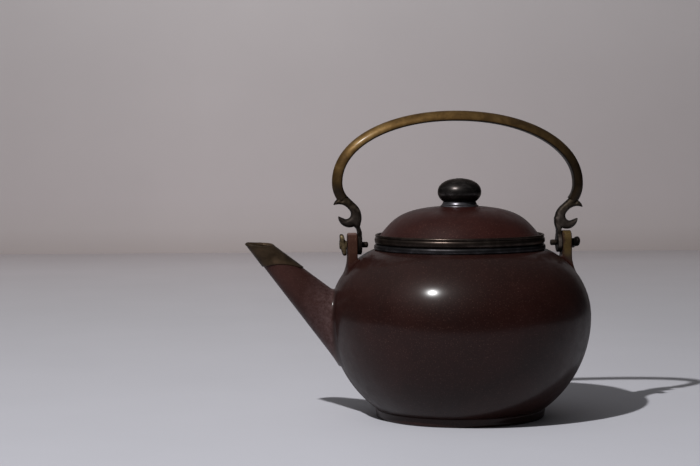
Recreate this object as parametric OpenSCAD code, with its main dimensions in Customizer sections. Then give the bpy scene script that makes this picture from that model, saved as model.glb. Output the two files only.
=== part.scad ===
// Loop-handle teapot: a round clay pot with a straight spout, metal-bound rims, a lift-off lid
// and a brass bail that swings on two pivot bolts.
// Millimetres, +Z up, spout towards -X, origin at the centre of the foot ring on the table.

/* [Body] */
// Diameter of the belly at its widest
body_d = 130; // [124:1:138]
// Height of the widest line above the table
belly_z = 50; // [47:0.5:54]
// Arc radius of the shoulder in profile
shoulder_r = 36; // [34:0.5:39]
// Arc radius of the lower wall in profile
lower_r = 57; // [55:0.5:60]
// Thickness of the clay wall
body_wall = 4; // [3:0.25:5]
// Thickness of the floor inside the pot
floor_t = 4.5; // [3:0.5:6]
// Distance of the floor disc's edge inside the foot ring
floor_edge = 1; // [0.5:0.1:3]
// Height of the pot's flat underside above the table
underside_z = 2.8; // [2:0.1:3.4]

/* [Foot] */
// Height of the foot ring on the outside
foot_h = 4.2; // [3.8:0.1:6]
// How far the ring's top edge stands out from the wall
foot_proud = 0.5; // [0.4:0.1:2]
// How much the ring draws in from its top edge to the table
foot_taper = 0.4; // [0:0.1:1.6]
// Width of the face that stands on the table
foot_w = 5; // [4:0.5:7]

/* [Mouth] */
// Diameter over the metal band round the mouth
neck_d = 85.2; // [80:0.2:88]
// Width of the mouth's rim
rim_w = 5.6; // [4.6:0.2:7]
// Bare clay ledge under the band
neck_ledge = 0.6; // [0.2:0.1:1.2]
// Height of the mouth band
mouth_band_h = 3; // [2.4:0.1:4]
// Sheet thickness of both bands
band_t = 0.8; // [0.5:0.1:1.2]

/* [Lid] */
// How far the lid's band stands in from the mouth band
lid_inset = 0.3; // [0:0.1:1]
// Height of the lid's band
lid_band_h = 4.1; // [3:0.1:5]
// Distance from the lid's edge to the start of the dome
brim_w = 2.4; // [1.6:0.1:3.6]
// Rise of the dome above its brim
lid_rise = 14.8; // [11:0.2:18]
// Thickness of the clay in the lid
lid_wall = 3.5; // [2.5:0.25:4.5]
// Depth of the flange in the mouth
flange_h = 9; // [6:0.5:12]
// Thickness of the flange
flange_t = 3.2; // [2.4:0.2:4]
// Free room between flange and mouth
flange_gap = 0.6; // [0.4:0.1:1]

/* [Knob] */
// Diameter of the knob at its widest
knob_d = 21.7; // [19:0.1:25]
// Height of the knob's crown above its widest line
knob_crown = 6.9; // [5.5:0.1:8]
// Height of the widest line above the collar
knob_seat = 4.4; // [3.6:0.1:5]
// Diameter at the top of the collar
collar_d = 16.4; // [14:0.2:18]
// How far the collar flares at its base
collar_flare = 1.5; // [0.6:0.1:2.4]
// Height of the collar
collar_h = 2.3; // [1.8:0.1:3.4]
// Diameter of the rivet through the knob
stud_d = 3; // [2.4:0.2:4]
// Diameter of the washer under the lid
washer_d = 10; // [8:0.5:14]
// Thickness of the washer
washer_t = 0.8; // [0.6:0.1:1.4]

/* [Spout] */
// Height at which the spout's centre line leaves the belly
spout_root_z = 51; // [49:0.5:54]
// Angle of the centre line above the table
spout_angle = 45; // [42:0.5:48]
// Length of the centre line from the belly to the lip
spout_len = 51.4; // [46:0.2:60]
// Diameter of the clay at the lip
spout_lip_d = 8.2; // [7.6:0.1:9.4]
// Diameter of the clay at the belly
spout_root_d = 22.6; // [20:0.2:24]
// Diameter of the bore at the lip
bore_lip_d = 6.2; // [5:0.1:6.6]
// Diameter of the bore at the belly
bore_root_d = 18; // [15:0.5:18.5]
// Diameter of each strainer hole
strain_d = 3.6; // [2.5:0.1:4]
// Distance between neighbouring strainer holes
strain_pitch = 5.2; // [4.6:0.1:5.6]
// Height of the lower row of strainer holes above the belly's widest line
strain_rise = 3.2; // [2.6:0.1:4]

/* [Ferrule] */
// Height of the metal sleeve at the lip
ferrule_h = 12; // [9:0.5:15]
// Sheet thickness of the sleeve
ferrule_t = 0.5; // [0.4:0.05:0.8]
// Depth of the lip that turns in over the clay
ferrule_lip = 1; // [0.6:0.1:1.6]
// Rise of the arch in the sleeve's lower edge
ferrule_arch = 2; // [1:0.1:3]

/* [Lugs] */
// Distance of each lug's middle outside the edge of the mouth band
lug_x = 11.2; // [10.6:0.1:12.2]
// Thickness of each lug along the pivot axis
lug_t = 4.8; // [4.4:0.1:5.8]
// Width of each lug across the pivot axis
lug_w = 9; // [8:0.2:9.6]
// Extra height of the lug above its round top's centre line
lug_head = 1.5; // [0.4:0.1:1.7]

/* [Pivots] */
// Diameter of the bolt's shank
bolt_d = 2; // [1.8:0.1:2.2]
// Diameter of the bolt's head
bolt_head_d = 2.9; // [2.8:0.1:4]
// Length of the bolt's head
bolt_head_l = 3.1; // [2:0.1:3.4]
// Radial running clearance on the bolt
pivot_gap = 0.05; // [0.03:0.01:0.09]
// Side clearance between tang, lug and bolt head
side_gap = 0.3; // [0.2:0.05:0.5]
// Radius of each lobe of the wing nut
lobe_r = 2.4; // [2:0.1:2.7]
// Distance of each lobe's centre from the bolt
lobe_pitch = 2.7; // [2.2:0.1:2.9]
// Thickness of the lobes
lobe_t = 2; // [1.4:0.1:2.6]
// Length of the nut along the bolt
nut_l = 3.5; // [2.8:0.1:4]

/* [Hangers] */
// Thickness of the tang along the pivot axis
tang_t = 2; // [1.8:0.1:2.6]
// Width of the tang
tang_w = 6; // [5:0.2:7]
// Radius of the eye at the tang's foot
eye_r = 4.9; // [4:0.1:5.2]
// Room between the eye and the shoulder
eye_gap = 1.2; // [1:0.1:2]
// Thickness of the crescent, front to back
hanger_t = 5; // [4:0.2:5.6]
// Radius of the gap between the crescent's horns
hook_gap_r = 2.85; // [2.4:0.05:3]
// Radius of the crescent's lower horn
hook_toe_r = 5.2; // [5:0.05:5.4]

/* [Bail] */
// Height of the bail's centre line above the pivots at its crown
bail_h = 63.4; // [60:0.1:72]
// Thickness of the bail in its own plane
bail_t = 5.1; // [4.6:0.1:6.2]
// Depth of the bail at its crown, front to back
bail_depth = 8; // [6:0.1:10]
// Radius at which the bail's ends curl in
curl_r = 13; // [11:0.5:15]
// How far the ends curl in from upright
curl_angle = 39; // [34:1:44]
// Distance of the bail's ends outside the tangs
joint_out = 7.5; // [7.1:0.1:8.1]
// Height of the bail's ends above the pivots
joint_h = 21.8; // [21.4:0.1:22.6]
// Angle by which the hand-bent bail leans down towards the rear
handle_lean = 1; // [0:0.1:1.4]
// How far the bail stands towards the spout at the pivots
handle_shift = 1.1; // [0:0.1:1.4]

/* [Hidden] */
$fn = 96;

// Colours as the object shows them
clay = "#4a302c";
ochre_clay = "#6d5634";
brass = "#7d6236";
dark_metal = "#37322b";
grey_metal = "#6b6664";

// A length past every face that a cut has to clear, and a small overrun of a cut past its own face
beyond = 200;
overrun = 1;
// Segments of each arc in an outline
arc_steps = 12;

// Pot: profile arcs share the height of the belly
belly_r = body_d / 2;
shoulder_x = belly_r - shoulder_r;
lower_x = belly_r - lower_r;
neck_r = neck_d / 2;
mouth_r = neck_r - rim_w;
neck_z = shoulder_z(neck_r + neck_ledge);
seat_z = neck_z + mouth_band_h;
band_bulge = 0.45;

// Foot ring
foot_top_r = wall_r(foot_h) + foot_proud;
foot_r = foot_top_r - foot_taper;
foot_in_r = foot_r - foot_w;

// Floor disc that the lower bowl is luted round
floor_r = foot_in_r - floor_edge;

// Lid: the dome is one cubic curve from its crown to its brim
lid_r = neck_r - lid_inset;
brim_r = lid_r - brim_w;
lid_lip_r = 0.7;
brim_sink = 0.2;
brim_z = seat_z + lid_band_h - brim_sink;
lid_top_z = brim_z + lid_rise;
dome_crown = 0.755;
dome_edge = [0.823, 0.548];
flange_r = mouth_r - flange_gap;
hollow_r = flange_r - flange_t;
lid_under_z = seat_z + band_t;
dome_steps = 28;

// Knob and its rivet
collar_z = lid_top_z + collar_h;
knob_z = collar_z + knob_seat;
knob_top_z = knob_z + knob_crown;
knob_steps = 20;
stud_gap = 0.05;
stud_head_lap = 0.3;
stud_head_r = stud_d / 2 + stud_head_lap;
stud_head_h = 0.4;
stud_tail_lap = 1.1;
stud_tail_r = stud_d / 2 + stud_tail_lap;
stud_tail_h = 1.2;

// Spout: s runs along the centre line, from the lip (0) to the belly (spout_len)
spout_root_x = wall_r(spout_root_z);
lip_x = spout_root_x + spout_len * cos(spout_angle);
lip_z = spout_root_z + spout_len * sin(spout_angle);
spout_inside = 23;
spout_past_lip = 9;
ferrule_z = lip_z - ferrule_h;
ferrule_x = lip_x - ferrule_h / tan(spout_angle);
arch_reach = 0.8;
arch_half = ferrule_h * arch_reach;
arch_r = (pow(arch_half, 2) + pow(ferrule_arch, 2)) / (2 * ferrule_arch);

// Lugs and pivots, worked out on the +X side
lug_mid = neck_r + lug_x;
lug_in = lug_mid - lug_t / 2;
lug_out = lug_mid + lug_t / 2;
tang_out = lug_in - side_gap;
tang_in = tang_out - tang_t;
tang_x = (tang_in + tang_out) / 2;
pivot_z = shoulder_z(tang_in) + eye_r + eye_gap;
bore_d = bolt_d + 2 * pivot_gap;
lug_top_z = pivot_z + lug_head + lug_w / 2;
lug_flare_drop = 5.5;
lug_flare_z = pivot_z - lug_flare_drop;
lug_flare_r = flare_radius(lug_out - shoulder_x, lug_flare_z - belly_z);
lug_flare_share = 0.744;
lug_flare_angle = lug_flare_share * atan2(lug_flare_z - belly_z, lug_out + lug_flare_r - shoulder_x);
lug_side_r = 10;
lug_side_angle = 50;
nut_in = lug_out + side_gap;
nut_wall = 1;
nut_hub_r = bore_d / 2 + nut_wall;
front_nut_turn = 8;
rear_nut_turn = 78;

// Bail: a superellipse over the pot, then an arc that curls each end in to its hanger
joint = [tang_x + joint_out, pivot_z + joint_h];
bail_half = joint.x + curl_r * (1 - cos(curl_angle));
bail_wide_z = joint.y + curl_r * sin(curl_angle);
bail_rise = pivot_z + bail_h - bail_wide_z;
bail_fullness = 2.09;
section_fullness = 2.5;
bail_sides = 16;
arch_steps = 26;
curl_steps = 6;
joint_normal = [cos(curl_angle), -sin(curl_angle)];

// Crescent outline, from the tang's middle and the pivot height
hook_o = [tang_x, pivot_z];
hook_bow = 0.95;
hook_mid = 12.3;
back_r = 9.5;
back_c = hook_o + [back_r - hook_bow, hook_mid];
back_sweep = [130, 180];
heel_r = 7;
heel_c = hook_o + [heel_r - hook_bow, hook_mid];
heel_sweep = [184, 222];
toe_out = 4.5;
toe_up = 13.2;
toe_c = hook_o + [toe_out, toe_up];
toe_sweep = [245, 355];
gap_out = 6.2;
gap_up = 14.3;
gap_c = hook_o + [gap_out, gap_up];
gap_sweep = [276, 126];
horn_r = 7.05;
horn_out = 10.7;
horn_up = 12.2;
horn_c = hook_o + [horn_out, horn_up];
horn_sweep = [144, 80];
horn_tip_out = 11.8;
horn_tip_up = 20;
horn_tip = hook_o + [horn_tip_out, horn_tip_up];
ledge_out = 10.5;
ledge_up = 20.7;
horn_ledge = hook_o + [ledge_out, ledge_up];

// Tang: upright beside the lug, then set over to meet the leaning crescent
tang_set = handle_shift - hook_mid * sin(handle_lean);
tang_bend_z = lug_top_z + side_gap;
tang_bend_h = 2.8;
tang_top_z = pivot_z + hook_mid;

// Radius of the pot's wall at a height, and height of its shoulder at a radius
function wall_r(z, inset = 0) = z >= belly_z
    ? shoulder_x + sqrt(pow(shoulder_r - inset, 2) - pow(z - belly_z, 2))
    : lower_x + sqrt(pow(lower_r - inset, 2) - pow(belly_z - z, 2));
function shoulder_z(r, inset = 0) = belly_z + sqrt(pow(shoulder_r - inset, 2) - pow(r - shoulder_x, 2));

// Radius of an arc that leaves an upright face and runs out tangent to the shoulder
function flare_radius(x, z) = (x * x + z * z - shoulder_r * shoulder_r) / (2 * (shoulder_r - x));

// Points along an arc, a cubic curve and a band's bulging face
function arc(c, r, sweep) = [
    for (i = [0:arc_steps])
        let (a = sweep[0] + (sweep[1] - sweep[0]) * i / arc_steps) c + r * [cos(a), sin(a)]
];
function cubic(p, t) = pow(1 - t, 3) * p[0] + 3 * pow(1 - t, 2) * t * p[1]
    + 3 * (1 - t) * t * t * p[2] + pow(t, 3) * p[3];
function bulge(r, z0, z1) = [
    for (i = [0:arc_steps])
        let (t = i / arc_steps, s = 2 * t - 1) [r - band_bulge * s * s, z0 + (z1 - z0) * t]
];

// The same point on the other side of the axis
function mirror_x(p) = [-p.x, p.y];

// Control points of the dome's outside and of the hollow under it
function dome_curve(r, z, top) = [
    [0, top], [dome_crown * r, top], [dome_edge.x * r, z + dome_edge.y * (top - z)], [r, z]
];
dome_outside = dome_curve(brim_r, brim_z, lid_top_z);
dome_hollow = dome_curve(hollow_r, lid_under_z, lid_top_z - lid_wall);
function curve_points(p) = [for (i = [0:dome_steps]) cubic(p, i / dome_steps)];
// The washer's rim touches the underside of the dome
washer_z = lookup(washer_d / 2, curve_points(dome_hollow));

// A power that keeps the sign, for superellipses
function signed_pow(v, e) = sign(v) * pow(abs(v), e);

// Bail's centre line on the +X side as [x, z, normal x, normal z], from crown to end
function arch_point(t) = let (
    x = pow(cos(t), 2 / bail_fullness),
    z = pow(sin(t), 2 / bail_fullness),
    gx = pow(x, bail_fullness - 1) / bail_half,
    gz = pow(z, bail_fullness - 1) / bail_rise,
    g = norm([gx, gz])
) [bail_half * x, bail_wide_z + bail_rise * z, gx / g, gz / g];
function curl_point(a) = [
    bail_half - curl_r * (1 - cos(a)), bail_wide_z - curl_r * sin(a), cos(a), -sin(a)
];
half_path = concat(
    [for (i = [0:arch_steps]) arch_point(90 * (1 - i / arch_steps))],
    [for (i = [1:curl_steps]) curl_point(curl_angle * i / curl_steps)]
);
half_last = len(half_path) - 1;
bail_path = concat(
    [for (i = [half_last:-1:1]) let (p = half_path[i]) [-p[0], p[1], -p[2], p[3]]],
    half_path
);
function depth_at(i) = let (s = abs(i - half_last) / half_last)
    bail_depth + (hanger_t - bail_depth) * s * s;
function bail_ring(i) = let (p = bail_path[i], d = depth_at(i)) [
    for (k = [0:bail_sides - 1]) let (
        a = 360 * k / bail_sides,
        u = bail_t / 2 * signed_pow(cos(a), 2 / section_fullness),
        v = d / 2 * signed_pow(sin(a), 2 / section_fullness)
    ) [p[0] + p[2] * u, v, p[1] + p[3] * u]
];

// Solid of the pot's outside, from its underside to its neck
module belly_profile(inset, low, high) {
    intersection() {
        union() {
            intersection() {
                translate([lower_x, belly_z]) circle(r = lower_r - inset);
                translate([0, belly_z - beyond]) square(beyond);
            }
            intersection() {
                translate([shoulder_x, belly_z]) circle(r = shoulder_r - inset);
                translate([0, belly_z]) square(beyond);
            }
        }
        translate([0, low]) square([beyond, high - low]);
    }
}

module belly_solid() {
    rotate_extrude() belly_profile(0, underside_z, neck_z);
}

// Places children at the lip with +Z along the spout's centre line, towards the pot
module along_spout() {
    translate([-lip_x, 0, lip_z]) rotate([0, 90 + spout_angle, 0]) children();
}

// Cone round the spout's centre line, from one place on it to another
module spout_cone(lip_d, root_d, from, to, extra = 0) {
    slope = (root_d - lip_d) / 2 / spout_len;
    along_spout() translate([0, 0, from])
        cylinder(h = to - from, r1 = lip_d / 2 + slope * from + extra, r2 = lip_d / 2 + slope * to + extra);
}

// Everything between two heights
module slab(low, high) {
    translate([-beyond, -beyond, low]) cube([2 * beyond, 2 * beyond, high - low]);
}

// Everything inside the spout's outer face
module spout_outside() {
    spout_cone(spout_lip_d, spout_root_d, -spout_past_lip, spout_len + spout_inside);
}

// Hole through the shoulder behind the spout, at a distance to the side and a height
module strainer_hole(side, z) {
    translate([0, side, z]) rotate([0, -90, 0]) cylinder(h = beyond, d = strain_d);
}

// Three holes in a row and two above them
module strainer() {
    low = belly_z + strain_rise;
    high = low + strain_pitch * sin(60);
    for (i = [-1:1]) strainer_hole(i * strain_pitch, low);
    for (i = [-1, 1]) strainer_hole(i * strain_pitch / 2, high);
}

module pot_floor() {
    color(clay) translate([0, 0, underside_z]) cylinder(h = floor_t, r = floor_r);
}

module lower_bowl() {
    color(clay) rotate_extrude() difference() {
        belly_profile(0, underside_z, belly_z);
        belly_profile(body_wall, underside_z + floor_t, belly_z);
        square([floor_r, belly_z]);
    }
}

module shoulder() {
    color(clay) difference() {
        rotate_extrude() difference() {
            union() {
                belly_profile(0, belly_z, neck_z);
                translate([0, neck_z - band_t]) square([neck_r - band_t, mouth_band_h]);
            }
            belly_profile(body_wall, belly_z, shoulder_z(mouth_r, body_wall));
            translate([0, belly_z]) square([mouth_r, beyond]);
        }
        strainer();
    }
}

module foot_ring() {
    color(clay) difference() {
        rotate_extrude() polygon([
            [foot_in_r, 0], [foot_r, 0], [foot_top_r, foot_h], [foot_in_r, foot_h]
        ]);
        belly_solid();
    }
}

module spout() {
    color(clay) difference() {
        intersection() {
            spout_outside();
            slab(0, lip_z - ferrule_lip);
        }
        spout_cone(bore_lip_d, bore_root_d, -spout_past_lip, spout_len + spout_inside);
        belly_solid();
    }
}

module spout_ferrule() {
    color(grey_metal) difference() {
        intersection() {
            spout_cone(spout_lip_d, spout_root_d, -spout_past_lip, spout_len / 2, ferrule_t);
            slab(ferrule_z, lip_z);
        }
        intersection() {
            spout_outside();
            slab(0, lip_z - ferrule_lip);
        }
        spout_cone(bore_lip_d, bore_root_d, -spout_past_lip, spout_len);
        translate([-ferrule_x, 0, ferrule_z + ferrule_arch - arch_r])
            rotate([90, 0, 0]) cylinder(h = beyond, r = arch_r, center = true);
    }
}

module mouth_band() {
    color(grey_metal) rotate_extrude() difference() {
        polygon(concat([[mouth_r, seat_z], [mouth_r, neck_z]], bulge(neck_r, neck_z, seat_z)));
        translate([0, neck_z - band_t]) square([neck_r - band_t, mouth_band_h]);
    }
}

// Clay lug on the +X side, with its bore
module lug() {
    flare_c = [lug_out + lug_flare_r, lug_flare_z];
    side_c = [lug_w / 2 + lug_side_r, lug_flare_z];
    top_c = [0, lug_top_z - lug_w / 2];
    face = concat(
        [[lug_in, belly_z], [lug_in, lug_top_z], [lug_out, lug_top_z]],
        arc(flare_c, lug_flare_r, [180, 180 + lug_flare_angle]),
        [[lug_out + lug_flare_r * (1 - cos(lug_flare_angle)), belly_z]]
    );
    half_side = concat(
        arc(side_c, lug_side_r, [180 + lug_side_angle, 180]),
        arc(top_c, lug_w / 2, [0, 90])
    );
    side_foot = [half_side[0].x, belly_z];
    side = concat(
        [side_foot], half_side,
        [for (i = [len(half_side) - 2:-1:0]) mirror_x(half_side[i])],
        [mirror_x(side_foot)]
    );
    difference() {
        intersection() {
            rotate([90, 0, 0]) linear_extrude(beyond, center = true) polygon(face);
            rotate([90, 0, 90]) linear_extrude(beyond) polygon(side);
        }
        belly_solid();
        on_pivot(0) cylinder(h = beyond, d = bore_d);
    }
}

// Places children on the pivot axis at a distance from the pot's axis, with +Z outwards
module on_pivot(x) {
    translate([x, 0, pivot_z]) rotate([0, 90, 0]) children();
}

module bolt() {
    head_face = tang_in - side_gap;
    shank_end = nut_in + nut_l;
    crown_h = bolt_head_d / 4;
    crown = [
        for (i = [0:arc_steps]) let (a = 90 * i / arc_steps)
            [bolt_head_d / 2 * sin(a), crown_h * (1 - cos(a))]
    ];
    on_pivot(head_face - bolt_head_l) {
        rotate_extrude() polygon(concat([[0, bolt_head_l]], crown, [[bolt_head_d / 2, bolt_head_l]]));
        cylinder(h = shank_end - head_face + bolt_head_l, d = bolt_d);
    }
}

module wing_nut(turn) {
    on_pivot(nut_in) rotate(turn) difference() {
        union() {
            cylinder(h = nut_l, r = nut_hub_r);
            for (side = [-1, 1]) translate([side * lobe_pitch, 0, (nut_l - lobe_t) / 2])
                cylinder(h = lobe_t, r = lobe_r);
        }
        translate([0, 0, -overrun]) cylinder(h = nut_l + 2 * overrun, d = bore_d);
    }
}

// Crescent that grips the bail's end, on the +X side, before the handle leans
module crescent() {
    outline = concat(
        [joint - joint_normal * bail_t / 2],
        arc(back_c, back_r, back_sweep),
        arc(heel_c, heel_r, heel_sweep),
        arc(toe_c, hook_toe_r, toe_sweep),
        arc(gap_c, hook_gap_r, gap_sweep),
        arc(horn_c, horn_r, horn_sweep),
        [horn_tip, horn_ledge, joint + joint_normal * bail_t / 2]
    );
    rotate([90, 0, 0]) linear_extrude(hanger_t, center = true) polygon(outline);
}

// Flat tang with its eye, on the +X side; its top is set outwards by a distance
module tang(set) {
    outline = [
        [tang_in, pivot_z], [tang_out, pivot_z], [tang_out, tang_bend_z],
        [tang_out + set, tang_bend_z + tang_bend_h], [tang_out + set, tang_top_z],
        [tang_in + set, tang_top_z], [tang_in + set, tang_bend_z + tang_bend_h], [tang_in, tang_bend_z]
    ];
    rotate([90, 0, 0]) linear_extrude(tang_w, center = true) polygon(outline);
    on_pivot(tang_in) cylinder(h = tang_t, r = eye_r);
}

module eye_bore() {
    on_pivot(tang_in - overrun) cylinder(h = tang_t + 2 * overrun, d = bore_d);
}

// Leans the bail and both crescents together, as the hand-bent handle stands
module leaning() {
    translate([-handle_shift, 0, pivot_z]) rotate([0, handle_lean, 0]) translate([0, 0, -pivot_z]) children();
}

module bail_grip() {
    last = len(bail_path) - 1;
    points = [for (i = [0:last]) each bail_ring(i)];
    function at(i, k) = i * bail_sides + k % bail_sides;
    sides = [
        for (i = [0:last - 1]) for (k = [0:bail_sides - 1])
            each [[at(i, k), at(i, k + 1), at(i + 1, k + 1)], [at(i, k), at(i + 1, k + 1), at(i + 1, k)]]
    ];
    ends = [
        [for (k = [bail_sides - 1:-1:0]) at(0, k)],
        [for (k = [0:bail_sides - 1]) at(last, k)]
    ];
    color(brass) leaning() polyhedron(points, concat(sides, ends));
}

module lid_section() {
    difference() {
        polygon(concat(
            curve_points(dome_outside),
            [[lid_r - band_t, brim_z], [lid_r - band_t, lid_under_z], [0, lid_under_z]]
        ));
        polygon(concat(
            curve_points(dome_hollow),
            [[hollow_r, lid_under_z - overrun], [0, lid_under_z - overrun]]
        ));
    }
}

module lid_dome() {
    color(clay) rotate_extrude() difference() {
        lid_section();
        square([stud_d / 2 + stud_gap, beyond]);
    }
}

module lid_flange() {
    color(clay) rotate_extrude() translate([hollow_r, seat_z - flange_h])
        square([flange_t, flange_h + band_t]);
}

module lid_band() {
    color(grey_metal) rotate_extrude() difference() {
        union() {
            polygon(concat(
                [[flange_r + flange_gap, seat_z + lid_band_h], [flange_r + flange_gap, seat_z]],
                bulge(lid_r, seat_z, seat_z + lid_band_h)
            ));
            translate([lid_r - lid_lip_r - band_bulge, seat_z + lid_band_h]) circle(r = lid_lip_r);
        }
        lid_section();
        polygon(concat(curve_points(dome_outside), [[0, lid_under_z]]));
    }
}

module knob_collar() {
    base_r = collar_d / 2 + collar_flare;
    flare = [
        for (i = [0:arc_steps]) let (t = i / arc_steps)
            [base_r - collar_flare * sin(90 * t), lid_top_z + collar_h * (t * t + t) / 2]
    ];
    color(grey_metal) rotate_extrude() difference() {
        polygon(concat([[0, collar_z], [0, brim_z], [base_r, brim_z]], flare));
        polygon(concat(curve_points(dome_outside), [[0, brim_z]]));
        square([stud_d / 2 + stud_gap, beyond]);
    }
}

module knob() {
    low = asin(knob_seat / knob_crown);
    face = [
        for (i = [0:knob_steps]) let (a = -low + (90 + low) * i / knob_steps)
            [knob_d / 2 * cos(a), knob_z + knob_crown * sin(a)]
    ];
    color(grey_metal) rotate_extrude() difference() {
        polygon(concat([[0, knob_top_z], [0, collar_z]], face));
        square([stud_d / 2 + stud_gap, beyond]);
    }
}

module knob_stud() {
    tail_z = washer_z - washer_t;
    tail_bevel = stud_tail_h / 2;
    head_bevel = stud_head_h / 2;
    color(grey_metal) rotate_extrude() polygon([
        [0, tail_z - stud_tail_h], [stud_tail_r - tail_bevel, tail_z - stud_tail_h],
        [stud_tail_r, tail_z - tail_bevel], [stud_tail_r, tail_z], [stud_d / 2, tail_z],
        [stud_d / 2, knob_top_z], [stud_head_r, knob_top_z],
        [stud_head_r - head_bevel, knob_top_z + stud_head_h], [0, knob_top_z + stud_head_h]
    ]);
}

module knob_washer() {
    color(grey_metal) translate([0, 0, washer_z - washer_t]) difference() {
        cylinder(h = washer_t, d = washer_d);
        translate([0, 0, -overrun]) cylinder(h = washer_t + 2 * overrun, r = stud_d / 2 + stud_gap);
    }
}

module front_side() {
    mirror([1, 0, 0]) children();
}

// The front lug's foot ends where the spout begins
module front_lug() {
    color(clay) difference() {
        front_side() lug();
        spout_outside();
    }
}

module rear_lug() { color(ochre_clay) lug(); }
module front_bolt() { color(dark_metal) front_side() bolt(); }
module rear_bolt() { color(dark_metal) bolt(); }
module front_wing_nut() { color(brass) front_side() wing_nut(front_nut_turn); }
module rear_wing_nut() { color(dark_metal) wing_nut(rear_nut_turn); }

module front_hanger() {
    color(dark_metal) difference() {
        union() {
            leaning() front_side() crescent();
            front_side() tang(tang_set);
        }
        front_side() eye_bore();
    }
}

module rear_hanger() {
    color(dark_metal) difference() {
        union() {
            leaning() crescent();
            tang(-tang_set);
        }
        eye_bore();
    }
}

pot_floor();
lower_bowl();
shoulder();
foot_ring();
spout();
spout_ferrule();
mouth_band();
front_lug();
rear_lug();
front_bolt();
rear_bolt();
front_wing_nut();
rear_wing_nut();
bail_grip();
front_hanger();
rear_hanger();
lid_dome();
lid_flange();
lid_band();
knob_collar();
knob();
knob_stud();
knob_washer();
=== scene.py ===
import math

import bmesh
import bpy
import numpy as np
from mathutils import Matrix, Vector


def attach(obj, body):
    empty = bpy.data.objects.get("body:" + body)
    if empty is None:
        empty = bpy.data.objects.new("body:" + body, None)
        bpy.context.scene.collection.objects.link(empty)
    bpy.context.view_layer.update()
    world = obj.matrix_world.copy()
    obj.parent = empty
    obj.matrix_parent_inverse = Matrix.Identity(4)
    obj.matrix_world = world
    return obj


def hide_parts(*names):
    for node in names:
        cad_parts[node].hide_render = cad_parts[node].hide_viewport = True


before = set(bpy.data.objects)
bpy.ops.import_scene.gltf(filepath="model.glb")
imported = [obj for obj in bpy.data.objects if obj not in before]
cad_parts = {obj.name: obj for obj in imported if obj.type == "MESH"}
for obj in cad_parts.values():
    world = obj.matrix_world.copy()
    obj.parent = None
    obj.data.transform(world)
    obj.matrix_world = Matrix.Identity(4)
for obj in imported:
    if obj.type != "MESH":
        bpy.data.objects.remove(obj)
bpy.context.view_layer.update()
scene = bpy.context.scene
scene.view_settings.view_transform = "Standard"

# Sizes in millimetres, for meshes in metres; X, R and Z are a place across, a radius and a height
MM = 0.001

# Pot
BELLY_Z = 50.0
SHOULDER_X, SHOULDER_R = 29.0, 36.0
LOWER_X, LOWER_R = 8.0, 57.0
WALL, FLOOR_Z, UNDERSIDE_Z = 4.0, 7.3, 2.8
NECK_R, NECK_Z, SEAT_Z, MOUTH_R = 42.6, 83.081, 86.081, 37.0
LEDGE_R, NECK_IN_R, RIM_TOP_Z, RIM_LOW_Z, INSIDE_TOP_Z = 43.2, 41.8, 85.2, 81.2, 80.5
FLOOR_CORNER_R, FLOOR_FLAT_R = 39.2, 30.0

# Lid, its band and flange, the knob with its collar, rivet and washer
LID_R, BRIM_R, BRIM_Z, LID_TOP = 42.3, 39.9, 89.981, 104.781
LID_BAND_TOP, LID_UNDER, HOLLOW_R, LID_WALL, LID_EDGE_R, BEAD_R = 90.181, 86.881, 33.2, 3.5, 41.45, 0.65
FLANGE_R, FLANGE_LOW = 36.4, 77.081
DOME_FLAT, DOME_SHOULDER_R, DOME_SHOULDER_H = 0.755, 0.823, 0.548
COLLAR_R, COLLAR_BASE_R, COLLAR_Z = 8.2, 9.7, 107.081
KNOB_R, KNOB_Z, KNOB_CROWN, KNOB_TOP, KNOB_FULLNESS = 10.85, 111.481, 6.9, 118.381, 2.2
KNOB_UNDER_H, KNOB_SEAT_R = 4.4, 8.1
STUD_R, STUD_BORE_R, WASHER_R, WASHER_Z, WASHER_T = 1.5, 1.6, 5.0, 101.184, 0.8

# Spout with its bore, the strainer's holes, and the sleeve at the lip, inside of which the clay is cut off
LIP_X, LIP_Z, SPOUT_LEN, SPOUT_ANGLE, SPOUT_CUT = 101.331, 87.345, 51.4, 45.0, 2.2
SPOUT_LIP_R, SPOUT_ROOT_R, BORE_LIP_R, BORE_ROOT_R = 4.1, 11.3, 3.1, 9.0
STRAIN_R, STRAIN_PITCH, STRAIN_Z, STRAIN_TOP_Z, STRAIN_ENDS = 1.8, 5.2, 53.2, 57.703, (-70.0, -55.0)
FERRULE_H, FERRULE_T, FERRULE_ARCH, ARCH_R, LIP_LEAN = 12.0, 0.5, 2.0, 24.04, 0.13
SLEEVE_SEARCH, SEARCH_STEPS = (-9.0, 30.0), 40

# Where spout and lugs run into the pot: breadth of the soft join, what is trimmed from its rim, how far the
# rim lies under the pot's surface, and how deep the root goes
SPOUT_JOIN, LUG_JOIN, JOIN_TRIM, ROOT_SINK, ROOT_DEPTH = 3.0, 2.0, 0.1, 0.12, 2.0

# Lugs, tangs, bolts and nuts
PIVOT_Z = 85.966
LUG_IN, LUG_OUT, LUG_W, LUG_TOP, LUG_EDGE = 51.4, 56.2, 9.0, 91.966, 0.7
FLARE_Z, FLARE_R, SIDE_FLARE_R, SIDE_FLARE_SHARE, FOOT_BOW = 80.466, 21.14, 10.0, 0.95, 0.006
FLARE_SWEEP = math.radians(32.2)
TANG_IN, TANG_OUT, TANG_W, EYE_R, TANG_X, TANG_NARROWS = 49.1, 51.1, 6.0, 4.9, 50.1, 0.9
TANG_SET, TANG_BEND, TANG_BEND_H, TANG_TOP = 0.885, 92.266, 2.8, 98.266
BOLT_R, BOLT_HEAD_R, BOLT_HEAD_L, NUT_IN, NUT_L = 1.0, 1.45, 3.1, 56.5, 3.5
LOBE_R, LOBE_PITCH, LOBE_T, LOBE_LEAN, HUB_R, BORE_R = 2.4, 2.7, 2.0, 0.16, 2.05, 1.05
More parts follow.
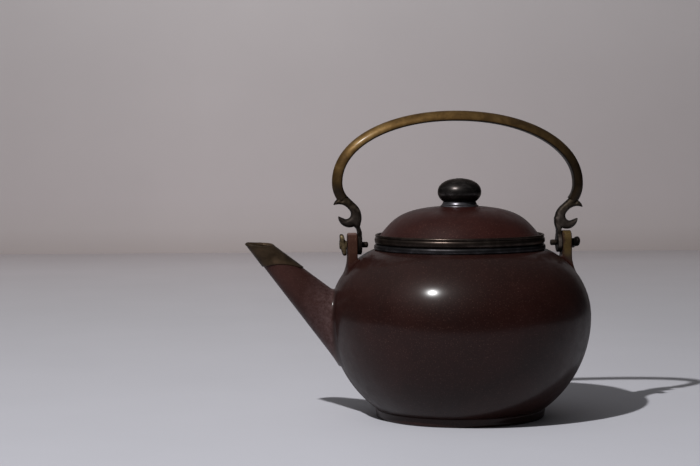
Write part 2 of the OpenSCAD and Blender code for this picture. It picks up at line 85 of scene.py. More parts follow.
LOBE_LENGTH, LENS_FULL, LENS_FALL, LENS_FLAT_R, LOBE_EDGE = 1.15, 0.25, 0.2, 0.6, 0.7
HUB_EDGE, NUT_JOIN = 0.3, 0.9

# Hangers and bail
HANGER_T, FULLER, FULLER_FADE, HOOK_SHIFT, HOOK_EDGE, PLATE_EDGE = 5.0, 0.35, 5.0, 0.4, 1.9, 0.4
HOOK_MIDDLE, HOOK_FULL_R, HOOK_THINS, EYE_JOIN, HOOK_JOIN = (3.0, 13.0), 5, 0.05, 0.5, 1.0
ROOT_UP, ROOT_INSET = 3.6, 1.1
JOINT, CURL_R, CURL_ANGLE = (57.6, 107.766), 13.0, 39.0
BAIL_HALF, BAIL_WIDE_Z, BAIL_RISE = 60.497, 115.947, 33.419
BAIL_T, BAIL_DEPTH, BAIL_FULLNESS = 5.1, 8.0, 2.09
BAIL_EDGE, DOME_FULLNESS, FLAT_FULLNESS = 0.9, 1.7, 4.0
LEAN, SHIFT = math.radians(1.0), 1.1

# Grids for the softly joined shapes: lowest corner, highest corner and step
SPOUT_GRID = (-109, -17, 26), (-50, 17, 88), 0.5
LUG_GRID = (45, -16, 56), (68, 16, 93), 0.45
NUT_GRID = (56.2, -6, PIVOT_Z - 6), (60.4, 6, PIVOT_Z + 6), 0.22
HANGER_GRID = (46, -5.4, PIVOT_Z - 5.6), (66, 5.4, 111), 0.3

# The angle from which an edge is sharp
SHARP_ANGLE = math.radians(35)


# Mesh helpers
def mesh_object(name, points, faces):
    """A linked object with a mesh given in millimetres."""
    mesh = bpy.data.meshes.new(name)
    mesh.from_pydata((np.asarray(points, float) * MM).tolist(), [], [list(f) for f in faces])
    obj = bpy.data.objects.new(name, mesh)
    scene.collection.objects.link(obj)
    return obj


def piece(name, points, faces, body, slot, material, *nodes):
    """A smooth-shaded mesh in millimetres that rides on a body and stands for CAD nodes."""
    obj = mesh_object(name, points, faces)
    mesh = obj.data
    bm = bmesh.new()
    bm.from_mesh(mesh)
    bmesh.ops.recalc_face_normals(bm, faces=bm.faces)
    bm.to_mesh(mesh)
    bm.free()
    mesh.polygons.foreach_set("use_smooth", [True] * len(mesh.polygons))
    mesh.set_sharp_from_angle(angle=SHARP_ANGLE)
    mesh.materials.append(material)
    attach(obj, body)
    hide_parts(*nodes)
    return obj


def drill(obj, points, faces):
    """Takes a closed shape in millimetres out of a piece."""
    tool = mesh_object("drill", points, faces)
    cut = obj.modifiers.new("drill", "BOOLEAN")
    cut.object, cut.operation, cut.solver = tool, "DIFFERENCE", "EXACT"
    done = obj.evaluated_get(bpy.context.evaluated_depsgraph_get())
    obj.data = bpy.data.meshes.new_from_object(done)
    obj.modifiers.clear()
    bpy.data.objects.remove(tool)


def soften(corners, steps=5):
    """A polyline (r, z, radius) with each corner rounded by a curve that starts radius away from it."""
    out = []
    for i, (r, z, radius) in enumerate(corners):
        p = np.array([r, z])
        if radius <= 0 or i in (0, len(corners) - 1):
            out.append(p)
            continue
        a = np.array(corners[i - 1][:2]) - p
        b = np.array(corners[i + 1][:2]) - p
        la, lb = np.linalg.norm(a), np.linalg.norm(b)
        a = p + a / la * min(radius, 0.48 * la)
        b = p + b / lb * min(radius, 0.48 * lb)
        for t in np.linspace(0, 1, steps):
            out.append((1 - t) ** 2 * a + 2 * t * (1 - t) * p + t * t * b)
    return [tuple(q) for q in out]


def lathe(profile, closed=False, segs=192):
    """A profile of (r, z) turned about Z."""
    turn = np.linspace(0, 2 * math.pi, segs, endpoint=False)
    points, rows, faces = [], [], []
    for r, z in profile:
        start = len(points)
        if r < 1e-6:
            rows.append([start])
            points.append((0, 0, z))
        else:
            rows.append(range(start, start + segs))
            points += [(r * math.cos(a), r * math.sin(a), z) for a in turn]
    ends = list(rows[1:]) + ([rows[0]] if closed else [])
    for a, b in zip(rows, ends):
        for k in range(segs):
            n = (k + 1) % segs
            corner = [a[k % len(a)], a[n % len(a)], b[n % len(b)], b[k % len(b)]]
            corner = list(dict.fromkeys(corner))
            if len(corner) > 2:
                faces.append(corner)
    return points, faces


def tube(rings, closed_path=False):
    """Rings of equal length joined side by side, with both ends closed unless the path is."""
    n = len(rings[0])
    points = [p for ring in rings for p in ring]
    faces = []
    count = len(rings)
    for i in range(count if closed_path else count - 1):
        j = (i + 1) % count
        for k in range(n):
            m = (k + 1) % n
            faces.append((i * n + k, i * n + m, j * n + m, j * n + k))
    if not closed_path:
        faces.append(tuple(range(n)))
        faces.append(tuple((count - 1) * n + k for k in range(n)))
    return points, faces


def net(field, low, high, step):
    """Mesh of the surface where a field is zero: one vertex per crossed cell, drawn on to the surface."""
    low = np.array(low, float)
    size = np.ceil((np.array(high, float) - low) / step).astype(int) + 1
    grid = np.meshgrid(*[low[k] + step * np.arange(size[k]) for k in range(3)], indexing="ij")
    value = field(*grid)
    cells = tuple(size - 1)
    total = np.zeros(cells + (3,))
    count = np.zeros(cells)
    index = np.stack(np.meshgrid(*[np.arange(c) for c in cells], indexing="ij"), -1)
    crossings = []
    for d in range(3):
        first = np.take(value, range(size[d] - 1), d)
        second = np.take(value, range(1, size[d]), d)
        cross = (first < 0) != (second < 0)
        share = np.where(cross, first / np.where(first == second, 1, first - second), 0)
        crossings.append(cross)
        a, b = [k for k in range(3) if k != d]
        for oa in (0, 1):
            for ob in (0, 1):
                cut = [slice(None)] * 3
                cut[a] = slice(oa, oa + cells[a])
                cut[b] = slice(ob, ob + cells[b])
                hit = cross[tuple(cut)]
                count += hit
                total[..., d] += np.where(hit, index[..., d] + share[tuple(cut)], 0)
                total[..., a] += np.where(hit, index[..., a] + oa, 0)
                total[..., b] += np.where(hit, index[..., b] + ob, 0)
    live = count > 0
    number = np.full(cells, -1)
    number[live] = np.arange(live.sum())
    points = low + step * total[live] / count[live][:, None]
    faces = []
    for d in range(3):
        a, b = [k for k in range(3) if k != d]
        where = np.argwhere(crossings[d])
        where = where[(where[:, a] > 0) & (where[:, b] > 0)]
        where = where[(where[:, a] < cells[a]) & (where[:, b] < cells[b])]
        corner = []
        for oa, ob in ((1, 1), (0, 1), (0, 0), (1, 0)):
            at = where.copy()
            at[:, a] -= oa
            at[:, b] -= ob
            corner.append(number[at[:, 0], at[:, 1], at[:, 2]])
        faces += np.stack(corner, -1).tolist()
    reach, rounds, least_slope = 0.02, 5, 0.2
    for _ in range(rounds):
        v = field(*points.T)
        slope = np.stack([
            (field(*(points + reach * e).T) - field(*(points - reach * e).T)) / (2 * reach)
            for e in np.eye(3)
        ], -1)
        move = slope * (v / np.maximum((slope ** 2).sum(1), least_slope))[:, None]
        far = np.linalg.norm(move, axis=1)
        move *= np.minimum(1, 0.5 * step / np.maximum(far, 1e-9))[:, None]
        points = points - move
    return points, faces


def join(a, b, k):
    """Soft union of two fields."""
    h = np.maximum(k - np.abs(a - b), 0) / k
    return np.minimum(a, b) - h * h * k / 4


def meet(a, b, k):
    """Soft intersection of two fields."""
    return -join(-a, -b, k)


def plate(flat, y, half, r):
    """A flat outline's field given a thickness, with edges of radius r."""
    u, v = flat + r, np.abs(y) - half + r
    return np.minimum(np.maximum(u, v), 0) + np.hypot(np.maximum(u, 0), np.maximum(v, 0)) - r


def outline_field(corners):
    """Distance to a closed outline in a plane, less than zero inside."""
    start = np.asarray(corners, float)
    end = np.roll(start, -1, 0)

    def field(x, z):
        best = np.full(np.shape(x), 1e9)
        inside = np.zeros(np.shape(x), bool)
        for (ax, az), (bx, bz) in zip(start, end):
            ex, ez = bx - ax, bz - az
            if ex * ex + ez * ez < 1e-12:
                continue
            t = np.clip(((x - ax) * ex + (z - az) * ez) / (ex * ex + ez * ez), 0, 1)
            best = np.minimum(best, (x - ax - t * ex) ** 2 + (z - az - t * ez) ** 2)
            if ez != 0:
                beyond = (az > z) != (bz > z)
                inside ^= beyond & (x < ax + (z - az) * ex / ez)
        return np.where(inside, -1, 1) * np.sqrt(best)

    return field


def arc(c, r, sweep, steps=24):
    """Points on a circle between two angles in degrees."""
    turn = np.radians(np.linspace(sweep[0], sweep[1], steps))
    return [(c[0] + r * math.cos(a), c[1] + r * math.sin(a)) for a in turn]


def belly(x, y, z):
    """Distance from the pot's outside."""
    r = np.hypot(x, y)
    high = np.hypot(r - SHOULDER_X, z - BELLY_Z) - SHOULDER_R
    low = np.hypot(r - LOWER_X, z - BELLY_Z) - LOWER_R
    return np.where(z >= BELLY_Z, high, low)


# Material helpers
class Paint:
    """A Principled material and short calls for its procedural nodes."""

    def __init__(self, name, **values):
        self.material = bpy.data.materials.new(name)
        self.material.use_nodes = True
        self.tree = self.material.node_tree
        self.shader = self.tree.nodes["Principled BSDF"]
        for key, value in values.items():
            self.shader.inputs[key.replace("_", " ")].default_value = value
        self.place = self.node("ShaderNodeTexCoord").outputs["Object"]

    def node(self, kind, **settings):
        made = self.tree.nodes.new(kind)
        for key, value in settings.items():
            setattr(made, key, value)
        return made

    def feed(self, socket, value):
        if isinstance(value, bpy.types.NodeSocket):
            self.tree.links.new(value, socket)
        else:
            socket.default_value = value

    def to(self, name, value):
        self.feed(self.shader.inputs[name], value)

    def noise(self, scale, detail=4.0, rough=0.55, warp=0.0, place=None):
        made = self.node("ShaderNodeTexNoise")
        self.feed(made.inputs["Vector"], place or self.place)
        made.inputs["Scale"].default_value = scale
        made.inputs["Detail"].default_value = detail
        made.inputs["Roughness"].default_value = rough
        made.inputs["Distortion"].default_value = warp
        return made.outputs["Fac"]

    def ramp(self, value, *stops):
        made = self.node("ShaderNodeValToRGB")
        ramp = made.color_ramp
        while len(ramp.elements) < len(stops):
            ramp.elements.new(0.5)
        for element, (at, colour) in zip(ramp.elements, stops):
            element.position = at
            element.color = colour
        self.feed(made.inputs["Fac"], value)
        return made.outputs["Color"]

    def span(self, value, low, high, to_low=0.0, to_high=1.0):
        made = self.node("ShaderNodeMapRange")
        self.feed(made.inputs["Value"], value)
        for key, number in zip(("From Min", "From Max", "To Min", "To Max"), (low, high, to_low, to_high)):
            made.inputs[key].default_value = number
        return made.outputs["Result"]

    def math(self, how, a, b=0.0):
        made = self.node("ShaderNodeMath", operation=how)
        self.feed(made.inputs[0], a)
        self.feed(made.inputs[1], b)
        return made.outputs[0]

    def mix(self, share, a, b, how="MIX"):
        made = self.node("ShaderNodeMix", data_type="RGBA", blend_type=how)
        self.feed(made.inputs["Factor"], share)
        colours = [s for s in made.inputs if s.type == "RGBA"]
        self.feed(colours[0], a)
        self.feed(colours[1], b)
        return [s for s in made.outputs if s.type == "RGBA"][0]

    def base(self):
        """What feeds the base colour so far."""
        return self.shader.inputs["Base Color"].links[0].from_socket

    def facing(self):
        """0 where the surface faces the viewer, 1 where it is seen edge on."""
        return self.node("ShaderNodeLayerWeight").outputs["Facing"]

    def normal(self):
        return self.node("ShaderNodeTexCoord").outputs["Normal"]

    def vector(self, how, a, b=None):
        made = self.node("ShaderNodeVectorMath", operation=how)
        self.feed(made.inputs[0], a)
        if b is not None:
            self.feed(made.inputs[1], b)
        return made.outputs["Value" if how == "DOT_PRODUCT" else "Vector"]

    def axis(self, name):
        made = self.node("ShaderNodeSeparateXYZ")
        self.feed(made.inputs[0], self.place)
        return made.outputs[name]

    def radius(self):
        """Distance from the pot's axis."""
        x, y = self.axis("X"), self.axis("Y")
        return self.math("SQRT", self.math("ADD", self.math("MULTIPLY", x, x), self.math("MULTIPLY", y, y)))

    def side(self, name):
        """One part of the direction that the surface faces."""
        made = self.node("ShaderNodeSeparateXYZ")
        self.feed(made.inputs[0], self.normal())
        return made.outputs[name]

    def specks(self, scale, size, share):
        """Small round grains: 1 on a grain, 0 between them."""
        made = self.node("ShaderNodeTexVoronoi")
        self.feed(made.inputs["Vector"], self.place)
        made.inputs["Scale"].default_value = scale
        near = self.span(made.outputs["Distance"], size, size * 0.5)
        pick = self.node("ShaderNodeSeparateColor")
        self.feed(pick.inputs[0], made.outputs["Color"])
        chosen = self.math("LESS_THAN", pick.outputs[0], share)
        return self.math("MULTIPLY", near, chosen)

    def bump(self, height, strength, distance):
        made = self.node("ShaderNodeBump")
        made.inputs["Strength"].default_value = strength
        made.inputs["Distance"].default_value = distance
        self.feed(made.inputs["Height"], height)
        self.to("Normal", made.outputs["Normal"])


def rgb(r, g, b):
    """A colour given as it looks on screen, 0 to 255."""
    def linear(v):
        v /= 255
        return v / 12.92 if v <= 0.04045 else ((v + 0.055) / 1.055) ** 2.4
    return (linear(r), linear(g), linear(b), 1.0)


BODY_COAT, BODY_GLOSS, LUG_GLOSS, SPOUT_COAT = 0.34, 0.13, 0.03, 0.03


def clay_colour(p, dark, mid, warm, speck):
    """Clouded clay with fine pale grains."""
    cloud = p.ramp(p.noise(38, 5, 0.6, 0.4), (0.3, dark), (0.52, mid), (0.75, warm))
    grain = p.ramp(p.noise(1500, 3, 0.6), (0.3, rgb(205, 200, 200)), (0.7, rgb(255, 255, 255)))
    colour = p.mix(0.55, cloud, grain, "MULTIPLY")
    fine = p.specks(1400, 0.34, 0.5)
    coarse = p.specks(760, 0.2, 0.15)
    grains = p.math("MAXIMUM", p.math("MULTIPLY", fine, 0.2), p.math("MULTIPLY", coarse, 0.34))
    return p.mix(grains, colour, speck)


def polish(p, coat):
    """A coat that gets thin where the surface is seen edge on."""
    return p.span(p.facing(), 0.55, 0.95, coat, 0.12 * coat)


def clay(name, dark, mid, warm, speck, coat=BODY_COAT, gloss=BODY_GLOSS, coat_rough=0.18):
    """Polished unglazed clay."""
    p = Paint(name, Coat_Roughness=coat_rough, Specular_IOR_Level=gloss, Specular_Tint=(0.5, 0.45, 0.43, 1))
    p.to("Coat Weight", polish(p, coat))
    p.to("Base Color", clay_colour(p, dark, mid, warm, speck))
    p.to("Roughness", p.span(p.noise(160, 4), 0.3, 0.7, 0.42, 0.56))
    p.bump(p.noise(700, 4, 0.6), 0.10, 0.0002)
    return p


def off_belly(p):
    """Distance from the pot's outside in metres, for a material."""
    rise = p.math("SUBTRACT", p.axis("Z"), BELLY_Z * MM)
    found = []
    for centre, radius in ((LOWER_X, LOWER_R), (SHOULDER_X, SHOULDER_R)):
        out = p.math("SUBTRACT", p.radius(), centre * MM)
        away = p.math("SQRT", p.math("ADD", p.math("MULTIPLY", out, out), p.math("MULTIPLY", rise, rise)))
        found.append(p.math("SUBTRACT", away, radius * MM))
    upper = p.math("MULTIPLY", p.math("GREATER_THAN", rise, 0.0), p.math("SUBTRACT", found[1], found[0]))
    return p.math("ADD", found[0], upper)


def like_body(p, base):
    """Gives a lug the pot's own clay and polish where it runs into the pot."""
    near = p.span(off_belly(p), 0.0003, 0.0024, 1.0, 0.0)
    outside = p.math("MULTIPLY", near, p.span(p.math("ABSOLUTE", p.side("X")), 0.5, 0.8))
    p.to("Coat Weight", p.math("MULTIPLY", outside, polish(p, BODY_COAT)))
    p.to("Specular IOR Level", p.span(outside, 0.0, 1.0, LUG_GLOSS, BODY_GLOSS))
    p.to("Base Color", p.mix(near, base, clay_colour(p, *body_tones)))


def worn_metal(name, dark, mid, pale, rough):
    """Grey turned metal, scratched round its axis."""
    p = Paint(name, Metallic=0.85, Specular_Tint=(0.45, 0.42, 0.4, 1))
    x, y, z = p.axis("X"), p.axis("Y"), p.axis("Z")
    angle = p.math("ARCTAN2", y, x)
    round_it = p.node("ShaderNodeCombineXYZ")
    p.feed(round_it.inputs[0], p.math("MULTIPLY", angle, 0.002))
    p.feed(round_it.inputs[1], z)
    p.feed(round_it.inputs[2], p.radius())
    line = p.noise(900, 5, 0.65, place=round_it.outputs[0])
    stain = p.noise(190, 5, 0.6, 0.5)
    blend = p.math("ADD", p.math("MULTIPLY", line, 0.45), p.math("MULTIPLY", stain, 0.55))
    p.to("Base Color", p.ramp(blend, (0.34, dark), (0.5, mid), (0.68, pale)))
    p.to("Roughness", p.span(blend, 0.3, 0.7, rough + 0.14, rough - 0.1))
    p.bump(line, 0.12, 0.0002)
    return p


def forged(name, dark, mid, warm, rough=0.5, rubbed_and_shaded=None, shadow_below=0.0, brown_above=1.0, grain=230.0,
           edge=(0.3, 0.98)):
    """Dark hammered metal with a brown patina.

    Faces along the given axis keep their colour and the edges between them get painted shade, below a
    height in metres all is painted shadow, and above another all is brown.
    """
    p = Paint(name, Metallic=0.3, Specular_IOR_Level=0.2, Specular_Tint=(0.3, 0.27, 0.24, 1))
    patch = p.noise(grain, 5, 0.6, 0.6)
    colour = p.ramp(patch, (0.32, dark), (0.52, mid), (0.74, warm))
    brown = p.ramp(patch, (0.35, rgb(30, 24, 17)), (0.7, rgb(68, 58, 46)))
    colour = p.mix(p.span(p.axis("Z"), brown_above - 0.004, brown_above + 0.003), colour, brown)
    if rubbed_and_shaded:
        # Painted shade on the edges that don't face along the axis, and painted shadow on all below a height:
        # both take the dark colour
        facing = p.span(p.math("ABSOLUTE", p.side(rubbed_and_shaded)), *edge)
        out_of_shadow = p.span(p.axis("Z"), shadow_below - 0.001, shadow_below + 0.003, 0.05)
        colour = p.mix(p.math("MULTIPLY", facing, out_of_shadow), rgb(18, 14, 12), colour)
    p.to("Base Color", colour)
    p.to("Roughness", p.span(p.noise(420, 4), 0.3, 0.7, rough + 0.12, rough - 0.1))
    p.bump(p.noise(330, 5, 0.6), 0.22, 0.0005)
    return p


def aged_brass(name, low, high):
    """Rubbed brass.

    It goes brown towards its lower ends, between two heights in metres, and darker towards +X, which is
    painted shade. The side that faces into the loop is darkened as painted shade.
    """
    p = Paint(
        name, Metallic=0.55, Specular_IOR_Level=0.3, Specular_Tint=(0.4, 0.34, 0.26, 1), Coat_Weight=0.16,
        Coat_Roughness=0.2,
    )
    patch = p.noise(150, 5, 0.62, 0.5)
    gold = p.ramp(patch, (0.28, rgb(66, 48, 25)), (0.5, rgb(92, 69, 37)), (0.72, rgb(114, 90, 54)))
    brown = p.ramp(patch, (0.3, rgb(26, 20, 15)), (0.7, rgb(52, 40, 27)))
    rise = p.math("ADD", p.axis("Z"), p.span(p.noise(90, 3), 0.3, 0.7, -0.004, 0.004))
    # Painted shade: towards +X the brown reaches higher and the gold is dulled
    rise = p.math("SUBTRACT", rise, p.span(p.axis("X"), 0.0, 0.06, 0.0, 0.012))
    rubbed_and_shaded = p.math("MULTIPLY", p.span(rise, low, high), p.span(p.axis("X"), -0.005, 0.04, 1.0, 0.35))
    colour = p.mix(rubbed_and_shaded, brown, gold)
    # Painted shade: the side that faces into the loop goes dark
    outward = p.vector("SUBTRACT", p.place, (0.0, 0.0, BAIL_WIDE_Z * MM))
    outward = p.vector("MULTIPLY", outward, (1.0, 0.0, (BAIL_HALF / BAIL_RISE) ** 2))
    turned = p.vector("DOT_PRODUCT", p.vector("NORMALIZE", outward), p.normal())
    colour = p.mix(p.span(turned, 0.1, -0.3), colour, rgb(26, 19, 13))
    pits = p.specks(700, 0.28, 0.3)
    p.to("Base Color", p.mix(p.math("MULTIPLY", pits, 0.5), colour, rgb(46, 34, 18)))
    p.to("Roughness", p.span(p.noise(260, 4, 0.6), 0.3, 0.7, 0.62, 0.48))
    p.bump(p.noise(500, 4, 0.6), 0.12, 0.0003)
    return p


# The materials
body_tones = (rgb(31, 15, 13), rgb(36, 17, 14), rgb(42, 21, 18), rgb(104, 76, 68))
body_clay = clay("body_clay", *body_tones).material
lid_clay = clay(
    "lid_clay", rgb(36, 15, 12), rgb(44, 18, 15), rgb(53, 24, 20), rgb(118, 84, 74), 0.2, 0.14, 0.34
).material


def spout_material():
    """Matt clay with dust, the pot's polish near the spout's root, and painted shade in the crease where the
    spout meets the pot.
    """
    p = clay(
        "spout_clay", rgb(40, 23, 21), rgb(54, 33, 30), rgb(66, 42, 38), rgb(110, 86, 78), SPOUT_COAT
    )
    off = off_belly(p)
    dust = p.span(p.noise(480, 7, 0.75), 0.38, 0.7, 0.08, 0.62)
    by_root = p.math("MULTIPLY", p.span(off, 0.0006, 0.002), p.span(off, 0.017, 0.003))
    colour = p.mix(p.math("MULTIPLY", dust, by_root), p.base(), rgb(104, 84, 84))
    # Painted shade: the crease at the spout's root goes dark
    crease_shade = p.span(off, 0.0002, 0.0016, 1.0, 0.0)
    p.to("Base Color", p.mix(crease_shade, colour, rgb(30, 15, 13)))
    p.to("Coat Weight", p.span(off, 0.0004, 0.0022, BODY_COAT, SPOUT_COAT))
    return p.material


def front_lug_material():
    """Matt clay, darker and redder towards the foot, with a painted highlight at the very top."""
    p = clay("lug_clay", rgb(52, 33, 28), rgb(68, 45, 37), rgb(80, 54, 43), rgb(118, 94, 76), 0.0, LUG_GLOSS)
    foot_part = p.span(p.axis("Z"), (FLARE_Z + 3) * MM, (FLARE_Z - 5) * MM)
    colour = p.mix(foot_part, p.base(), rgb(40, 20, 17))
    # Painted highlight: the very top of the lug goes pale
    top_highlight = p.span(p.axis("Z"), (LUG_TOP - 1.2) * MM, (LUG_TOP - 0.2) * MM, 0.0, 0.7)
    like_body(p, p.mix(top_highlight, colour, rgb(122, 99, 94)))
    return p.material


def rear_lug_material():
    """Matt ochre clay; the faces across the pivots are darker, partly the clay's own brown and partly painted
    shade, and the foot is grey-brown as painted shade.
    """
    p = clay(
        "ochre_lug_clay", rgb(62, 49, 29), rgb(80, 65, 40), rgb(94, 78, 50), rgb(122, 106, 76), 0.0, LUG_GLOSS
    )
    ragged = p.span(p.noise(420, 3), 0.3, 0.7, -0.0006, 0.0006)
    # The faces across the pivots darken: partly the clay's own brown, partly painted shade
    face = p.math("ABSOLUTE", p.math("SUBTRACT", p.axis("X"), 0.5 * (LUG_IN + LUG_OUT) * MM))
    face = p.span(p.math("ADD", face, ragged), 0.0014, 0.0022)
    # Painted shade: grey-brown towards the foot
    foot_part = p.span(p.math("ADD", p.axis("Z"), ragged), (FLARE_Z + 2) * MM, (FLARE_Z - 2) * MM)
    colour = p.mix(foot_part, p.base(), rgb(46, 38, 33))
    like_body(p, p.mix(face, colour, rgb(48, 34, 27)))
    return p.material


spout_clay = spout_material()
lug_clay = front_lug_material()
ochre_clay = rear_lug_material()
band_metal = worn_metal("band_metal", rgb(32, 30, 31), rgb(50, 48, 50), rgb(84, 82, 85), 0.32).material
lid_metal = worn_metal("lid_band_metal", rgb(34, 28, 25), rgb(50, 42, 38), rgb(78, 68, 62), 0.34).material
knob_metal = worn_metal("knob_metal", rgb(30, 27, 26), rgb(50, 46, 45), rgb(82, 77, 76), 0.3).material
ferrule_metal = forged(
    "ferrule_metal", rgb(36, 27, 20), rgb(56, 45, 34), rgb(74, 58, 45), 0.42, grain=110.0
).material
dark_tones = (rgb(32, 27, 24), rgb(58, 51, 47), rgb(94, 85, 80))
# The edges of both hangers get painted shade, and the front tang gets painted shadow below 95.5 mm
front_metal = forged("dark_metal", *dark_tones, rubbed_and_shaded="Y", shadow_below=0.0955, brown_above=0.1035).material
rear_metal = forged("rear_dark_metal", *dark_tones, rubbed_and_shaded="Y", shadow_below=0.08, brown_above=0.1035).material
black_metal = forged("black_metal", rgb(9, 8, 8), rgb(15, 12, 11), rgb(24, 20, 17)).material
collar_metal = worn_metal("collar_metal", rgb(50, 46, 46), rgb(84, 82, 86), rgb(124, 122, 130), 0.32).material
tang_metal = forged("tang_metal", rgb(26, 22, 20), rgb(44, 37, 32), rgb(62, 52, 44)).material
# The nut's edges get painted shade
nut_metal = forged(
    "nut_metal", rgb(44, 36, 26), rgb(92, 79, 58), rgb(146, 130, 100), 0.4, rubbed_and_shaded="Y", grain=420.0,
    edge=(-0.1, 0.8),
).material
bail_brass = aged_brass("bail_brass", 0.112, 0.128).material


# Pot: wall and floor in one, the foot ring, and the mouth's metal band
def wall_arc(inset, low, high, steps):
    """The pot's profile between two heights, set in by a distance."""
    out = []
    for z in np.linspace(low, high, steps):
        x, r = (SHOULDER_X, SHOULDER_R) if z >= BELLY_Z else (LOWER_X, LOWER_R)
        out.append((x + math.sqrt((r - inset) ** 2 - (z - BELLY_Z) ** 2), z))
    return out


outside = wall_arc(0, UNDERSIDE_Z, NECK_Z - 0.4, 110)
inside = wall_arc(WALL, FLOOR_Z + 1.5, INSIDE_TOP_Z, 90)
inside.reverse()
rim = soften([
    (*outside[-1], 0), (LEDGE_R + 0.02, NECK_Z - 0.05, 0.35), (NECK_IN_R, NECK_Z + 0.05, 0.1),
    (NECK_IN_R, RIM_TOP_Z, 0.2), (MOUTH_R + 0.1, RIM_TOP_Z, 0.2), (MOUTH_R + 0.1, RIM_LOW_Z, 1.0),
    (*inside[0], 0),
])
floor_edge = soften([(*inside[-1], 0), (FLOOR_CORNER_R, FLOOR_Z, 2.0), (FLOOR_FLAT_R, FLOOR_Z, 0)])
pot = piece(
    "pot_wall",
    *lathe([(0, UNDERSIDE_Z), *outside, *rim[1:-1], *inside, *floor_edge[1:], (0, FLOOR_Z)], segs=256),
    "pot", "clay", body_clay, "pot_floor", "lower_bowl", "shoulder",
)
for row, z in (((-1, 0, 1), STRAIN_Z), ((-0.5, 0.5), STRAIN_TOP_Z)):
    for y in (k * STRAIN_PITCH for k in row):
        drill(pot, *tube([[(x, *q) for q in arc((y, z), STRAIN_R, (0, 348.75), 32)] for x in STRAIN_ENDS]))
piece("foot_bead", *lathe(soften([
    (37.1, 3.2, 0), (37.03, 0.0, 0.6), (41.2, 0.0, 0.5), (41.75, 0.35, 0.4), (42.03, 1.0, 0.5),
    (42.0, 1.7, 0.4), (42.3, 3.4, 0.6), (42.43, 4.0, 0.5), (42.15, 4.75, 0.5), (41.0, 4.5, 0), (39.0, 3.0, 0),
]), True), "pot", "clay", body_clay, "foot_ring")


def bulge(r, low, high, sag, steps=16):
    """A rounded outside face that falls back by sag at both ends."""
    return [
        (r - sag * (1 - math.cos(a)), low + (high - low) * (math.sin(a) + 1) / 2)
        for a in np.linspace(-1.45, 1.45, steps)
    ]


piece("mouth_ring", *lathe([
    (NECK_IN_R + 0.05, NECK_Z + 0.4), (NECK_IN_R + 0.1, NECK_Z + 0.03),
    *bulge(NECK_R, NECK_Z, SEAT_Z - 0.3, 0.6),
    *soften([(NECK_R - 0.7, SEAT_Z - 0.3, 0), (NECK_R - 1.2, SEAT_Z, 0.3), (MOUTH_R + 0.5, SEAT_Z, 0),
             (MOUTH_R, SEAT_Z, 0.35), (MOUTH_R, NECK_Z + 0.2, 0)])[1:],
    (MOUTH_R + 0.15, NECK_Z + 0.2), (MOUTH_R + 0.15, SEAT_Z - 0.7), (NECK_IN_R + 0.05, SEAT_Z - 0.7),
], True), "pot", "grey_metal", band_metal, "mouth_band")


# Lid
def dome(r, z, top, steps):
    """A curve from the top of the lid to its brim."""
    shoulder = (DOME_SHOULDER_R * r, z + DOME_SHOULDER_H * (top - z))
    a, b, c, d = [np.array(q) for q in ((0, top), (DOME_FLAT * r, top), shoulder, (r, z))]
    return [
        tuple((1 - t) ** 3 * a + 3 * (1 - t) ** 2 * t * b + 3 * (1 - t) * t * t * c + t ** 3 * d)
        for t in np.linspace(0, 1, steps)
    ]


piece("lid_shell", *lathe([
    *dome(BRIM_R, BRIM_Z, LID_TOP, 64), (40.4, BRIM_Z - 0.06), (41.0, BRIM_Z - 0.08),
    (LID_EDGE_R, BRIM_Z - 0.1), (LID_EDGE_R, LID_UNDER), (HOLLOW_R, LID_UNDER),
    *reversed(dome(HOLLOW_R, LID_UNDER, LID_TOP - LID_WALL, 40)[:-1]),
], segs=256), "lid", "clay", lid_clay, "lid_dome")
bead_middle = (LID_R - 0.95, LID_BAND_TOP)
piece("lid_bead", *lathe([
    (MOUTH_R, SEAT_Z + 0.02), (LID_R - 1.2, SEAT_Z + 0.02),
    *bulge(LID_R, SEAT_Z + 0.25, LID_BAND_TOP - 0.75, 0.7), *arc(bead_middle, BEAD_R, (-60, 190), 16),
    (LID_EDGE_R - 0.15, BRIM_Z - 0.2), (LID_EDGE_R + 0.07, BRIM_Z - 0.4),
    (LID_EDGE_R + 0.07, LID_UNDER - 0.02), (MOUTH_R, LID_UNDER - 0.02),
], True), "lid", "grey_metal", lid_metal, "lid_band")
piece("lid_flange_ring", *lathe(soften([
    (HOLLOW_R, LID_UNDER, 0), (HOLLOW_R, FLANGE_LOW, 0.8), (FLANGE_R, FLANGE_LOW, 0.8),
    (FLANGE_R, LID_UNDER, 0),
]), True), "lid", "clay", lid_clay, "lid_flange")
piece("collar_ring", *lathe(soften([
    (STUD_BORE_R, LID_TOP - 0.1, 0), (COLLAR_BASE_R - 0.4, LID_TOP - 1.0, 0.1),
    (COLLAR_BASE_R + 0.05, LID_TOP - 0.6, 0.3), (COLLAR_BASE_R - 0.15, LID_TOP + 0.05, 0.25),
    (COLLAR_BASE_R - 1.0, LID_TOP + 0.7, 0.5), (COLLAR_R + 0.1, LID_TOP + 1.6, 0.4),
    (COLLAR_R, COLLAR_Z - 0.02, 0.15), (STUD_BORE_R, COLLAR_Z - 0.02, 0),
]), True), "lid", "grey_metal", collar_metal, "knob_collar")
knob_face = [
    (KNOB_R * math.cos(a), KNOB_Z + KNOB_CROWN * math.sin(a))
    for a in np.linspace(-math.asin(KNOB_UNDER_H / KNOB_CROWN), 0, 20)
] + [
    (KNOB_R * math.cos(a) ** (2 / KNOB_FULLNESS), KNOB_Z + KNOB_CROWN * math.sin(a) ** (2 / KNOB_FULLNESS))
    for a in np.radians(np.linspace(2, 83, 40))
]
